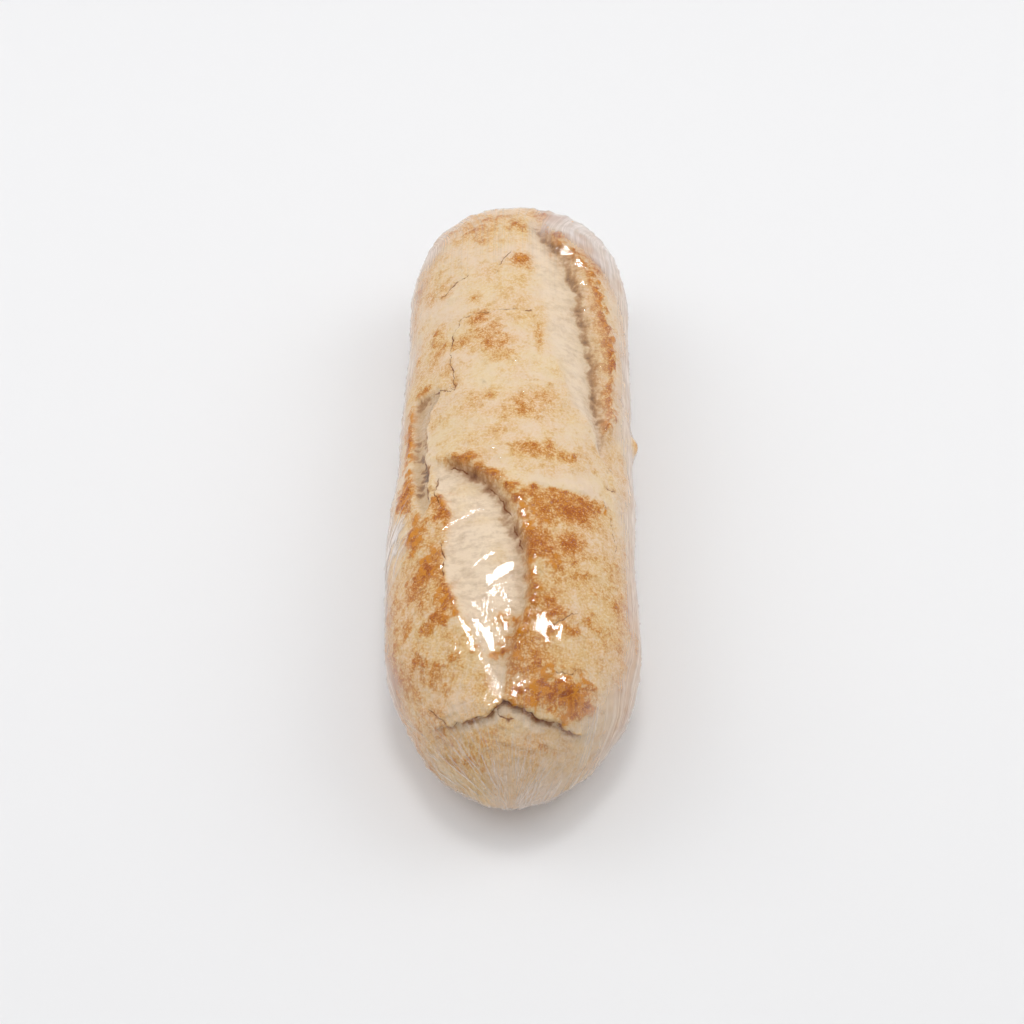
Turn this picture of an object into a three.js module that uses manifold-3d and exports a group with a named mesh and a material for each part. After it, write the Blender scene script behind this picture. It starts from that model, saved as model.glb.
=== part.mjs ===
// A short baguette wrapped in cling film, in millimetres.
// +Y runs along the loaf, +X is its right side and +Z is up. The origin is on the surface that the
// wrapped loaf rests on, under the middle of its bounding box.
// Two pieces: the loaf, baked as one solid, and the film drawn round it.
import * as THREE from "three";
import Module from "manifold-3d";
import { mergeVertices } from "three/addons/utils/BufferGeometryUtils.js";

const wasm = await Module();
wasm.setup();

// Driving dimensions of the loaf.
const LENGTH = 230;
const WIDTH = 75.4;
const HEIGHT = 54; // from the sole that lay on the baking tray to the crown
const WIDEST_AT = 21; // height of the widest level above the sole
const SHOULDER = 2.15; // section exponent above the widest level
const FLANK = 3.2; // section exponent below it, squarer because the tray flattens it
const SOLE_CUT = 1.2; // depth that the tray takes off the lower section, which makes the sole flat

// How each end rounds off, for the plan outline, the crown and the sole: the length that it takes,
// and two exponents, where larger ones are blunter. The near end is a nose, the far end is blunt.
const NEAR_END = {
  plan: { length: 50, bend: 1.7, round: 1.72 },
  crown: { length: 62, bend: 2.2, round: 2.0 },
  sole: { length: 26, bend: 2.0, round: 2.0 },
};
const FAR_END = {
  plan: { length: 46, bend: 2.3, round: 2.5 },
  crown: { length: 44, bend: 2.3, round: 2.3 },
  sole: { length: 18, bend: 2.2, round: 2.2 },
};

// The film: one thin shell, clear of the crust all round.
const FILM_GAP = 0.4;
const FILM_THICKNESS = 0.4;
const SEAM_WIDTH = 1.2; // slit under the loaf where the film's two long edges meet
const SEAM_LENGTH = 150;
const SEAM_X = 17;

// The tears where the scored crust opened in the oven: one along the right of the far half, one down
// the middle of the near half, one on the left shoulder between them, and two that meet across the
// nose. Ends are [x, y] seen from above, with y from the middle of the loaf.
const TEARS = [
  { from: [10, 92], to: [30, -10], halfWidth: 7, depth: 2.4 },
  { from: [-12, -26], to: [-4, -92], halfWidth: 9.5, depth: 2.4 },
  { from: [-26, 18], to: [-27, -30], halfWidth: 6, depth: 1.8 },
  { from: [-28, -90], to: [-4, -97], halfWidth: 3.5, depth: 1.6 },
  { from: [-4, -97], to: [22, -100], halfWidth: 3.5, depth: 1.6 },
];

// How finely each surface is cut into facets. Crust and film share one grid, which keeps them clear.
const RINGS = 60;
const SIDES = 32;

// Evenly spaced stations from the near end to the far end: how far the loaf leans to its right,
// and how its half width and its crown differ from the plain form.
const station = (values) =>
  new THREE.SplineCurve(values.map((v, i) => new THREE.Vector2(i, v)));
const LEAN = station([-0.2, 0.7, 0.2, -0.4, 0.8, 1.9, 2.4, 2.6, 2.2]);
const SWELL = station([0, 0.6, -0.1, 0.6, 0.0, -0.3, -0.6, 0.1, 0]);
const CROWN = station([-1, -1, -0.5, 0, 0.2, -0.3, -0.6, -0.2, -0.5]);

// The share of full size that is left at y, which falls to nothing at the tip.
function roundedOff(y, reach, { length, bend, round }) {
  const into = Math.max(0, (Math.abs(y) - (reach - length)) / length);
  return (1 - Math.min(1, into) ** bend) ** (1 / round);
}
const signedPower = (value, exponent) =>
  Math.sign(value) * Math.abs(value) ** exponent;
const smooth = (t) => {
  const c = THREE.MathUtils.clamp(t, 0, 1);
  return c * c * (3 - 2 * c);
};

// The depth of the tears under a point of the crown, seen from above.
function tearDepth(x, y) {
  const point = new THREE.Vector3(x, y, 0);
  return TEARS.reduce((deepest, { from, to, halfWidth, depth }) => {
    const line = new THREE.Line3(
      new THREE.Vector3(...from, 0),
      new THREE.Vector3(...to, 0),
    );
    const nearest = line.closestPointToPoint(point, true, new THREE.Vector3());
    const share = smooth(1.6 * (1 - point.distanceTo(nearest) / halfWidth));
    return Math.max(deepest, depth * share);
  }, 0);
}

// A closed grid over the loaf's form, grown outwards by grow. Only the bare loaf has its tears.
function bodyGeometry({ grow, torn }) {
  const reach = LENGTH / 2 + grow;
  const base = FILM_GAP + FILM_THICKNESS - grow;
  const positions = [];
  const ring = (angleAlong) => {
    const along = -Math.cos(angleAlong);
    const y = along * reach;
    const t = (along + 1) / 2;
    const end = y < 0 ? NEAR_END : FAR_END;
    const plan = roundedOff(y, reach, end.plan);
    const crown = roundedOff(y, reach, end.crown);
    const sole = roundedOff(y, reach, end.sole);
    const middle = FILM_GAP + FILM_THICKNESS + WIDEST_AT;
    const halfWidth = (WIDTH / 2 + SWELL.getPoint(t).y + grow) * plan;
    const rise = (HEIGHT - WIDEST_AT + CROWN.getPoint(t).y + grow) * crown;
    const drop = (WIDEST_AT + SOLE_CUT + grow) * sole;
    for (let i = 0; i < SIDES; i += 1) {
      const turn = (2 * Math.PI * i) / SIDES;
      const up = Math.cos(turn);
      const x =
        LEAN.getPoint(t).y + halfWidth * signedPower(Math.sin(turn), 2 / SHOULDER);
      const z =
        up > 0
          ? middle + rise * up ** (2 / SHOULDER)
          : Math.max(base, middle - drop * (-up) ** (2 / FLANK));
      positions.push(x, y, torn && up > 0 ? z - tearDepth(x, y) : z);
    }
  };
  for (let i = 1; i < RINGS; i += 1) ring((Math.PI * i) / RINGS);
  const tips = [-1, 1].map((end) => {
    const t = (end + 1) / 2;
    positions.push(
      LEAN.getPoint(t).y,
      end * reach,
      FILM_GAP + FILM_THICKNESS + WIDEST_AT,
    );
    return positions.length / 3 - 1;
  });
  const triangles = [];
  const vertex = (r, s) => r * SIDES + (s % SIDES);
  const lastRing = RINGS - 2;
  for (let s = 0; s < SIDES; s += 1) {
    triangles.push(tips[0], vertex(0, s + 1), vertex(0, s));
    triangles.push(tips[1], vertex(lastRing, s), vertex(lastRing, s + 1));
    for (let r = 0; r < lastRing; r += 1) {
      triangles.push(vertex(r, s), vertex(r + 1, s + 1), vertex(r + 1, s));
      triangles.push(vertex(r, s), vertex(r, s + 1), vertex(r + 1, s + 1));
    }
  }
  return new THREE.BufferGeometry()
    .setAttribute("position", new THREE.Float32BufferAttribute(positions, 3))
    .setIndex(triangles);
}

function toManifold(geometry) {
  const bare = geometry.clone();
  bare.deleteAttribute("normal");
  bare.deleteAttribute("uv");
  const merged = mergeVertices(bare, 1e-4);
  return new wasm.Manifold(
    new wasm.Mesh({
      numProp: 3,
      vertProperties: merged.attributes.position.array,
      triVerts: new Uint32Array(merged.index.array),
    }),
  );
}

function fromManifold(solid) {
  const { vertProperties, triVerts } = solid.getMesh();
  return new THREE.BufferGeometry()
    .setAttribute("position", new THREE.BufferAttribute(vertProperties, 3))
    .setIndex(new THREE.BufferAttribute(triVerts, 1));
}

function makeLoaf() {
  const crust = new THREE.MeshStandardMaterial({
    color: 0xd9b07a,
    roughness: 0.85,
    metalness: 0,
  });
  const geometry = bodyGeometry({ grow: 0, torn: true });
  geometry.computeVertexNormals();
  const loaf = new THREE.Mesh(geometry, crust);
  loaf.name = "baguette_loaf";
  return loaf;
}

function makeFilm() {
  const clear = new THREE.MeshStandardMaterial({
    color: 0xf4f4f6,
    roughness: 0.1,
    metalness: 0,
    transparent: true,
    opacity: 0.25,
  });
  const outside = toManifold(
    bodyGeometry({ grow: FILM_GAP + FILM_THICKNESS, torn: false }),
  );
  const inside = toManifold(bodyGeometry({ grow: FILM_GAP, torn: false }));
  const slit = new THREE.BoxGeometry(SEAM_WIDTH, SEAM_LENGTH, 4 * FILM_THICKNESS);
  slit.translate(SEAM_X, 0, FILM_THICKNESS / 2);
  const shell = outside.subtract(inside).subtract(toManifold(slit));
  const geometry = fromManifold(shell);
  geometry.computeVertexNormals();
  const film = new THREE.Mesh(geometry, clear);
  film.name = "cling_film";
  return film;
}

// The two pieces, moved so that the origin is under the middle of the bounding box.
const wrappedLoaf = new THREE.Group();
wrappedLoaf.add(makeLoaf(), makeFilm());
const box = new THREE.Box3().setFromObject(wrappedLoaf);
const middle = box.getCenter(new THREE.Vector3());
wrappedLoaf.position.set(-middle.x, -middle.y, -box.min.z);

export default wrappedLoaf;
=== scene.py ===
# %% [markdown]
# # A baguette in cling film
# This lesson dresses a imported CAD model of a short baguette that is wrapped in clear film. The CAD
# holds the true size and the plain forms. Here the crust gets its tears, ears, cracks, blisters and
# bake, and the film gets its pleats, laps and gloss. Lengths are in metres, +Y runs along the loaf
# from its pointed near end, +X is its right side and +Z is up.

import math

import bpy
import numpy as np
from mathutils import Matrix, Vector, noise
from mathutils.bvhtree import BVHTree
from mathutils.kdtree import KDTree


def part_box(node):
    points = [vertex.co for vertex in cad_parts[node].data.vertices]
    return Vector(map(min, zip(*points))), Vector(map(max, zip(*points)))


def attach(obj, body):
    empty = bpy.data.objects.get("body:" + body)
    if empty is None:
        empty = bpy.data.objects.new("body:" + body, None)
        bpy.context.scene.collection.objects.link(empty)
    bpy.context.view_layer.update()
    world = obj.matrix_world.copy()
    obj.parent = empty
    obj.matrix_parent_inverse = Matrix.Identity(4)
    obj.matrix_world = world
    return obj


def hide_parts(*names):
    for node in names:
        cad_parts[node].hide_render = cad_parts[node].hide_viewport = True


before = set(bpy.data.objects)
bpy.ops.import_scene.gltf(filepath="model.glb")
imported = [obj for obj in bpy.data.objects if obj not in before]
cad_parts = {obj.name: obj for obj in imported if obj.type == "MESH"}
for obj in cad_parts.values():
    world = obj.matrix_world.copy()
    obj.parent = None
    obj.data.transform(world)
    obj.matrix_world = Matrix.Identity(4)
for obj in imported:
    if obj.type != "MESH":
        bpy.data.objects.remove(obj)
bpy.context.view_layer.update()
loaf_low, loaf_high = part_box("baguette_loaf")
MM = 0.001

# %% [markdown]
# ## Helpers
# Blender's operators act on everything that is selected, so each step starts by choosing one object
# and leaving all others alone. Modifiers are applied by name, as a person would with the mouse.

# %% Helpers for choosing, editing and applying
def choose(piece):
    """Select this piece alone and make it the active one."""
    bpy.ops.object.select_all(action="DESELECT")
    piece.select_set(True)
    bpy.context.view_layer.objects.active = piece


def applied(piece, kind, **settings):
    """Add a modifier with these settings and apply it at once."""
    choose(piece)
    modifier = piece.modifiers.new(kind.title(), kind)
    for key, value in settings.items():
        setattr(modifier, key, value)
    bpy.ops.object.modifier_apply(modifier=modifier.name)


def positions(piece):
    flat = np.zeros(len(piece.data.vertices) * 3)
    piece.data.vertices.foreach_get("co", flat)
    return flat.reshape(-1, 3)


def normals(piece):
    flat = np.zeros(len(piece.data.vertices) * 3, dtype=np.float32)
    piece.data.vertex_normals.foreach_get("vector", flat)
    return flat.reshape(-1, 3).astype(float)


def move_to(piece, points):
    piece.data.vertices.foreach_set("co", np.asarray(points, dtype=np.float32).ravel())
    piece.data.update()


def store(piece, name, values):
    """Keep one number per vertex, for the materials to read."""
    layer = piece.data.attributes.new(name, "FLOAT", "POINT")
    layer.data.foreach_set("value", np.asarray(values, dtype=np.float32))


print("helpers ready")

# %% [markdown]
# ## Camera first
# The loaf is seen from above its near end, at an elevation of 50 degrees, with a 60 mm lens. The
# camera looks at a point a little in front of the middle of the loaf.

# %% Camera
VIEW_ELEVATION = math.radians(50)
VIEW_DISTANCE = 0.5344
LOOK_AT = Vector((-0.0007, -0.0142, 0.0240))

camera_data = bpy.data.cameras.new("camera")
camera_data.lens = 60
camera_data.sensor_width = 36
camera = bpy.data.objects.new("camera", camera_data)
bpy.context.scene.collection.objects.link(camera)
back_along_view = Vector((0, -math.cos(VIEW_ELEVATION), math.sin(VIEW_ELEVATION)))
camera.location = LOOK_AT + VIEW_DISTANCE * back_along_view
camera.rotation_euler = (math.pi / 2 - VIEW_ELEVATION, 0, 0)
bpy.context.scene.camera = camera
print("camera at", [round(v, 3) for v in camera.location])

# %% [markdown]
# ## Shaping the dough
# A baker rolls a piece of dough into a blunt cylinder, and the oven rounds it. The model starts the
# same way: a box of the loaf's size is cut into a few blocks, rounded with Subdivision Surface and
# laid onto a copy of the CAD loaf with Shrinkwrap. A box was chosen over a sphere because its faces
# stay near square all over, with no poles at the tips, so fine relief has the same detail everywhere.

# %% The CAD loaf as a smooth form to follow
def smooth_form(node):
    """A merged and rounded copy of a CAD node, for other pieces to be laid on."""
    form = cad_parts[node].copy()
    form.data = form.data.copy()
    form.parent = None
    for key in list(form.keys()):
        del form[key]
    form.name = node + "_form"
    bpy.context.scene.collection.objects.link(form)
    choose(form)
    bpy.ops.object.mode_set(mode="EDIT")
    bpy.ops.mesh.select_all(action="SELECT")
    bpy.ops.mesh.remove_doubles(threshold=1e-5)
    bpy.ops.mesh.normals_make_consistent(inside=False)
    bpy.ops.object.mode_set(mode="OBJECT")
    applied(form, "SUBSURF", levels=1, render_levels=1)
    applied(form, "SMOOTH", factor=0.5, iterations=6)
    return form


loaf_form = smooth_form("baguette_loaf")
print("form to follow:", len(loaf_form.data.vertices), "points")

# %% A box cut into blocks, rounded and laid on the form
BLOCKS = {"x": 3, "y": 8, "z": 2}


def block_box(name, low, high):
    """A box from low to high, cut across each axis into its number of blocks."""
    size = high - low
    bpy.ops.object.select_all(action="DESELECT")
    bpy.ops.mesh.primitive_cube_add(size=1, location=(low + high) / 2, scale=size)
    box = bpy.context.object
    box.name = name
    bpy.ops.object.transform_apply(location=True, rotation=True, scale=True)
    bpy.ops.object.mode_set(mode="EDIT")
    for axis, key in enumerate("xyz"):
        for cut in range(1, BLOCKS[key]):
            place, direction = Vector((0, 0, 0)), Vector((0, 0, 0))
            place[axis] = low[axis] + size[axis] * cut / BLOCKS[key]
            direction[axis] = 1
            bpy.ops.mesh.select_all(action="SELECT")
            bpy.ops.mesh.bisect(plane_co=place, plane_no=direction)
    bpy.ops.object.mode_set(mode="OBJECT")
    return box


loaf = block_box("crusty_loaf", loaf_low, loaf_high)
applied(loaf, "SUBSURF", levels=3, render_levels=3)
applied(loaf, "SHRINKWRAP", target=loaf_form, wrap_method="NEAREST_SURFACEPOINT")
applied(loaf, "SMOOTH", factor=0.5, iterations=4)
applied(loaf, "SUBSURF", levels=2, render_levels=2)
applied(loaf, "SHRINKWRAP", target=loaf_form, wrap_method="NEAREST_SURFACEPOINT")
applied(loaf, "SMOOTH", factor=0.5, iterations=12)
print("loaf:", len(loaf.data.polygons), "faces")
edge_lengths = [
    (loaf.data.vertices[e.vertices[0]].co - loaf.data.vertices[e.vertices[1]].co).length
    for e in loaf.data.edges
]
print("edges in mm:", [round(float(v) / MM, 2) for v in np.percentile(edge_lengths, [1, 50, 99])])

# %% [markdown]
# ## A map of the crust
# Everything that happened to this crust in the oven lies along lines: where the dough tore, where a
# flap of crust curled up into an ear, and where a thin plate cracked. The lines are written as a
# baker would point at them, as (degrees round from the crown line, millimetres along the loaf), with
# positive degrees on the right side. One helper then tells how far each point of the mesh is from a
# line, and a little noise in the measuring makes every edge ragged, as torn crust is. Lines were
# chosen over sculpting by hand because one list then drives the relief, the bake and the colours.

# %% Map of the crust
AXIS_X, AXIS_Z = 0.8 * MM, 22.8 * MM  # the middle of the loaf's section
MM_PER_DEGREE = 0.6

rest = positions(loaf)
outward = normals(loaf)
degrees = np.degrees(np.arctan2(rest[:, 0] - AXIS_X, rest[:, 2] - AXIS_Z))
along = rest[:, 1] / MM


def smooth_step(value, low, high):
    share = np.clip((value - low) / (high - low), 0, 1)
    return share * share * (3 - 2 * share)


def speckle(size_mm, seed, octaves=3, stretch=(1, 1, 1)):
    """Smooth noise of about -1 to 1 at each point, with features about size_mm across."""
    scale = [1 / (size_mm * MM * s) for s in stretch]
    shift = Vector((seed * 7.31, seed * 3.17, seed * 5.77))
    return np.array([
        noise.fractal(Vector((p[0] * scale[0], p[1] * scale[1], p[2] * scale[2])) + shift, 0.9, 2.1, octaves)
        for p in rest.tolist()
    ])


wander = [speckle(8, 1), speckle(8, 2), speckle(2.2, 3, 2), speckle(2.2, 4, 2)]
u_ragged = degrees * MM_PER_DEGREE + 1.1 * wander[0] + 0.7 * wander[2]
v_ragged = along + 1.1 * wander[1] + 0.7 * wander[3]
print("edges wander by up to", round(float(np.abs(v_ragged - along).max()), 1), "mm")


# %% A line on the map
class Line:
    """A line on the crust: each point's distance to it in mm, place along it from 0 to 1, and side."""

    def __init__(self, *corners):
        self.corners = np.array([(d * MM_PER_DEGREE, y) for d, y in corners], float)
        starts, ends = self.corners[:-1], self.corners[1:]
        lengths = np.linalg.norm(ends - starts, axis=1)
        before = np.concatenate([[0], np.cumsum(lengths)])
        self.distance = np.full(len(along), 1e9)
        self.place = np.zeros(len(along))
        self.side = np.ones(len(along))
        for (u0, v0), (u1, v1), length, start in zip(starts, ends, lengths, before):
            du, dv = (u1 - u0) / length, (v1 - v0) / length
            t = np.clip((u_ragged - u0) * du + (v_ragged - v0) * dv, 0, length)
            distance = np.hypot(u_ragged - u0 - t * du, v_ragged - v0 - t * dv)
            nearer = distance < self.distance
            self.distance = np.where(nearer, distance, self.distance)
            self.place = np.where(nearer, (start + t) / before[-1], self.place)
            turned_left = (u_ragged - u0) * dv < (v_ragged - v0) * du
            self.side = np.where(nearer, np.where(turned_left, -1, 1), self.side)

    def fade(self, ends=0.12):
        """1 along the line, falling to 0 at its two ends."""
        return np.clip(np.minimum(self.place, 1 - self.place) / ends, 0, 1)

    def ridge(self, width):
        return np.exp(-(self.distance / width) ** 2)


print("lines are measured at", len(along), "points")


# %% A strip between two lines
class Strip:
    """The ground between two lines: share is 1 inside, and across runs from the first to the second."""

    def __init__(self, first, second, edge=0.9):
        outline = np.concatenate([first.corners, second.corners[::-1]])
        crossings = np.zeros(len(along), dtype=int)
        for (u0, v0), (u1, v1) in zip(outline, np.roll(outline, -1, axis=0)):
            spans = (v0 > v_ragged) != (v1 > v_ragged)
            at = u0 + (v_ragged - v0) / (v1 - v0 + 1e-12) * (u1 - u0)
            crossings += spans & (u_ragged < at)
        within = crossings % 2 == 1
        border = np.minimum(first.distance, second.distance)
        self.share = smooth_step(np.where(within, border, -border), -edge, edge)
        self.across = first.distance / (first.distance + second.distance + 1e-9)


print("strips ready")

# %% Lines of the crust
tear_right = {
    "plate": Line((8, 92), (11, 70), (17, 51), (19, 37), (22, 28), (27, 18), (32, 8), (41, 2), (48, -8)),
    "bottom": Line((13, 94), (21, 82), (32, 74), (37, 62), (40, 50), (45, 36), (47, 24), (48, 14),
                   (49, 5), (51, -4), (51, -10)),
    "ear": Line((20, 92), (30, 79), (43, 71), (51, 60), (56, 48), (57, 35), (57, 22), (56, 8), (50, -4)),
}
tear_middle = {
    "plate": Line((-45, -16), (-43, -25), (-37, -33), (-35, -39), (-38, -50), (-37, -61), (-29, -72),
                  (-23, -84), (-17, -92), (-12, -97)),
    "bottom": Line((-41, -17), (-26, -22), (-17, -27), (-8, -34), (-3, -43), (1, -48), (4, -56),
                   (5, -64), (4, -72), (0, -79), (-6, -86), (-10, -97)),
    "ear": Line((-44, -13), (-35, -16), (-26, -18), (-17, -23), (-9, -26), (-1, -32), (3, -40),
                (6, -48), (8, -56), (9, -64), (8, -72), (4, -80), (-3, -88), (-9, -97)),
}
tear_left = {
    "border": Line((-52, 17), (-60, 19), (-62, 8), (-60, -4), (-58, -16), (-55, -26), (-50, -36)),
    "plate": Line((-45, 16), (-51, 10), (-53, 2), (-52, -6), (-51, -18), (-48, -30)),
}
lips = Line((-79, -88), (-76, -94), (-70, -99), (-53, -101), (-37, -101), (-22, -100.5), (-10, -97),
            (-2, -99), (6, -99.5), (18, -101.5), (32, -102.5), (46, -102.5), (62, -101.5))
nose_crust = Line((-50, -103), (-34, -103.5), (-20, -103), (-8, -102), (4, -103.5), (18, -104.5), (34, -104))
square_edge = Line((5, -29), (20, -29.5), (34, -29), (46, -28))
cracks = [
    Line((-35, 13), (-37, 22), (-39, 32), (-37, 41), (-33, 45), (-25, 46.5)),
    Line((-25, 46.5), (-16, 46), (-7, 46.5), (2, 46), (10, 45.5)),
    Line((-35, 13), (-45, 16), (-54, 17)),
    Line((-42, -20), (-44, -26), (-42, -32)),
    Line((-40, -46), (-38, -53), (-39, -60)),
    Line((16, -82), (19, -79), (26, -75), (33, -71)),
    Line((25, -89), (30, -90), (37, -88)),
    Line((46, -28), (53, -34), (58, -41), (57, -47)),
    Line((49, -22), (58, -21), (67, -22), (78, -20)),
    Line((48, -8), (53, -13), (58, -14)),
    Line((-30, 66), (-38, 64), (-46, 60)),
    Line((-4, 76), (-10, 70), (-13, 64)),
    Line((-17, -98.5), (-15, -102), (-8, -103.2), (-2, -103)),
    Line((-66, -94), (-60, -98), (-56, -101)),
]
print(len(cracks), "hairline cracks")

# %% [markdown]
# ## Relief of the crust
# The heights are worked out in layers, in millimetres along each point's normal, and laid on at the
# end. First come soft swellings, because no baguette is a perfect form. Then each tear is sunk, from
# the edge of the plate that it opened, across the stretched crumb, to its dark bottom under the ear.

# %% Swellings
edge_ends = np.zeros(2 * len(loaf.data.edges), dtype=np.int32)
loaf.data.edges.foreach_get("vertices", edge_ends)
edge_from, edge_to = edge_ends.reshape(-1, 2).T
neighbours = np.bincount(edge_ends, minlength=len(along))


def softened(values, rounds):
    """Each value moved halfway to the average of its neighbours, this many times."""
    for _ in range(rounds):
        around = np.bincount(edge_from, values[edge_to], len(along))
        around += np.bincount(edge_to, values[edge_from], len(along))
        values = 0.5 * values + 0.5 * around / neighbours
    return values


height = 0.80 * speckle(30, 5, 2) + 0.34 * speckle(11, 6, 3)
height += 1.6 * smooth_step(along, 82, 108) * smooth_step(rest[:, 2] / MM, 14, 34)
print("swellings in mm:", round(float(height.min()), 1), "to", round(float(height.max()), 1))

# %% The two long tears and their ears
torn = np.zeros(len(along))  # how much of the surface is torn crumb, from 0 to 1
dark = np.zeros(len(along))  # how much shade lies in a pit or under a lip
lean = np.zeros(len(along))  # how far the crust curls over towards -X, in mm
strands = speckle(2.0, 7, 3, stretch=(2.2, 0.8, 1.6))
crumb_lumps = speckle(6.0, 19, 4)
pit_noise = 0.75 * speckle(4.0, 21, 4) + 0.55 * speckle(1.3, 31, 2)

# For each tear: its lines, the floor as shares of the way across and heights in mm, then the ear's
# rise in mm, how torn the floor looks, and how softly the floor starts, in mm.
TEARS = {
    "right": (
        tear_right, [0, 0.25, 0.5, 0.85, 1], [0.0, -0.35, -0.7, -1.4, -1.9], 1.5, 0.70, 2.2),
    "middle": (
        tear_middle, [0, 0.06, 0.14, 0.45, 0.8, 1], [-0.2, -1.2, -1.1, -0.5, -1.3, -2.3],
        1.6, 0.95, 0.9),
}
SHADE = {  # how dark the bottom of the tear is
    "right": 0.70,
    "middle": 0.25 + 0.70 * smooth_step(0.55 - tear_middle["bottom"].place, -0.15, 0.15),
}
walls = {}
bottom_grey_shade = np.zeros(len(along))  # how much painted grey shade lies on the crumb near a tear's bottom
for key, (tear, shares, depths, ear_rise, torn_amount, edge) in TEARS.items():
    floor_strip = Strip(tear["plate"], tear["bottom"], edge)
    wall_strip = walls[key] = Strip(tear["bottom"], tear["ear"], 0.7)
    floor = np.interp(floor_strip.across, shares, depths) + 0.06 * strands + 0.50 * crumb_lumps
    wall = depths[-1] + (ear_rise - depths[-1]) * wall_strip.across ** 0.7
    away = tear["ear"].fade() * np.exp(-tear["ear"].distance / 4.5)
    plain = height + ear_rise * away + 0.35 * tear["plate"].ridge(2.2) * tear["plate"].fade()
    height = plain + floor_strip.share * (0.4 * height + floor - plain)
    height += wall_strip.share * (wall - height)
    torn = np.maximum(torn, torn_amount * floor_strip.share * (1 - wall_strip.share))
    torn = np.maximum(torn, 0.5 * wall_strip.share * (1 - wall_strip.across))
    lean += 0.8 * tear["ear"].ridge(1.7) * tear["ear"].fade()
    under = tear["bottom"].fade(0.06)
    pits = smooth_step(pit_noise, -0.05, 0.5) * tear["bottom"].ridge(3.0) * under
    height -= 0.8 * pits
    shade = SHADE[key] * under
    dark += shade * (0.45 * tear["bottom"].ridge(1.0) * smooth_step(wander[2], -0.5, 0.4) + 0.45 * pits)
    dark += 0.5 * shade * tear["bottom"].ridge(2.6) * (0.8 + 0.4 * wander[0])
    # painted grey shade beside each tear's bottom
    bottom_grey_shade += 0.55 * tear["bottom"].ridge(4.0) * under
print("deepest point of the tears in mm:", round(float(height.min()), 1))

# %% The torn strip on the left shoulder
left_strip = Strip(tear_left["border"], tear_left["plate"], 0.9)
floor = np.interp(left_strip.across, [0, 0.1, 0.5, 0.85, 1], [-0.4, -1.4, -1.0, -1.9, -2.4])
floor += 0.1 * strands + 0.8 * crumb_lumps
plain = height + 0.6 * tear_left["plate"].ridge(1.8) * tear_left["plate"].fade()
plain += 0.7 * tear_left["border"].ridge(1.8) * tear_left["border"].fade()
height = plain + left_strip.share * (0.4 * height + floor - plain)
torn = np.maximum(torn, 0.62 * left_strip.share)
pits = smooth_step(pit_noise, -0.05, 0.45) * tear_left["plate"].ridge(2.6) * tear_left["plate"].fade()
height -= 0.7 * pits
dark += 0.45 * tear_left["plate"].ridge(0.7) * tear_left["plate"].fade() + 0.65 * pits
dark += 0.55 * smooth_step(pit_noise, 0.15, 0.5) * left_strip.share
height -= 0.6 * smooth_step(pit_noise, 0.15, 0.5) * left_strip.share
height, torn = softened(height, 4), softened(torn, 2)
print("torn share of the surface:", round(float((torn > 0.5).mean()), 3))

# %% [markdown]
# The flaps of crust over the nose end in a broad V: their lips stand above the nose, with a torn
# band and a dark undercut below, where shade is painted. To the right of the middle tear, the crust
# behind a straight edge stands a small step above the plate in front of it. The hairlines are shallow
# grooves, broken here and there. Thin lines of painted shade lie in the hairlines, under the lips, at
# the bottom of the middle tear and along the left strip's plate. A line thinner than the mesh can't be
# stored as a colour, so each point keeps its distance to the nearest line of painted shade and that
# line's width, and the material draws the line from these two.

# %% The lips over the nose, and the plate's step
order = np.argsort(lips.corners[:, 0])
ahead = smooth_step(np.interp(u_ragged, *lips.corners[order].T) - v_ragged, -0.4, 0.4)
lip_share = np.clip(1.35 - np.abs(degrees) / 62, 0, 1)
below, above = -1.7 * np.exp(-lips.distance / 4.0), 0.9 * np.exp(-lips.distance / 2.5)
height += lip_share * (ahead * below + (1 - ahead) * above)
tip_push = -1.0 * lips.ridge(1.3) * lip_share * (1 - ahead)
band = Strip(lips, nose_crust, 0.6)
torn = np.maximum(torn, 0.85 * band.share * ahead) * (1 - 0.8 * lips.ridge(1.6) * lip_share)
undercut = lips.ridge(0.8) + 0.6 * lips.ridge(1.9) * smooth_step(pit_noise, 0.0, 0.4)
undercut += 0.25 * lips.ridge(2.4)
dark += (0.15 + 0.55 * ahead) * undercut * lip_share * smooth_step(wander[3], -0.8, 0.1)

STEP_Y, STEP_HEIGHT = -29.2, 0.9  # in mm
behind_step = smooth_step(v_ragged - STEP_Y, -0.5, 0.5)
step_rise = STEP_HEIGHT * behind_step - STEP_HEIGHT / 2
height += step_rise * np.exp(-square_edge.distance / 2.5) * square_edge.fade()
print("the lips overhang by", round(float(-tip_push.min()), 2), "mm")

# %% Hairlines, and the thin lines of painted shade
HAIRLINE_DEPTH = 0.8  # in mm
crack_share = np.zeros(len(along))
broken = np.clip(0.75 + 1.0 * speckle(3.0, 8, 3), 0, 1)
for crack in cracks:
    groove = crack.ridge(0.50) * np.clip(crack.fade(0.08) + 0.2, 0, 1)
    crack_share = np.maximum(crack_share, groove * broken)
    height += 0.25 * crack.ridge(2.0) * crack.fade() * broken
height -= HAIRLINE_DEPTH * crack_share
# painted shade in the hairline grooves
dark += 0.35 * crack_share

shade_line_side = np.full(len(along), 9.0)  # mm to the nearest line of painted shade, below zero on its left
shade_line_width = np.zeros(len(along))  # half the width of that line in mm, 0 where there is none
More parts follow.
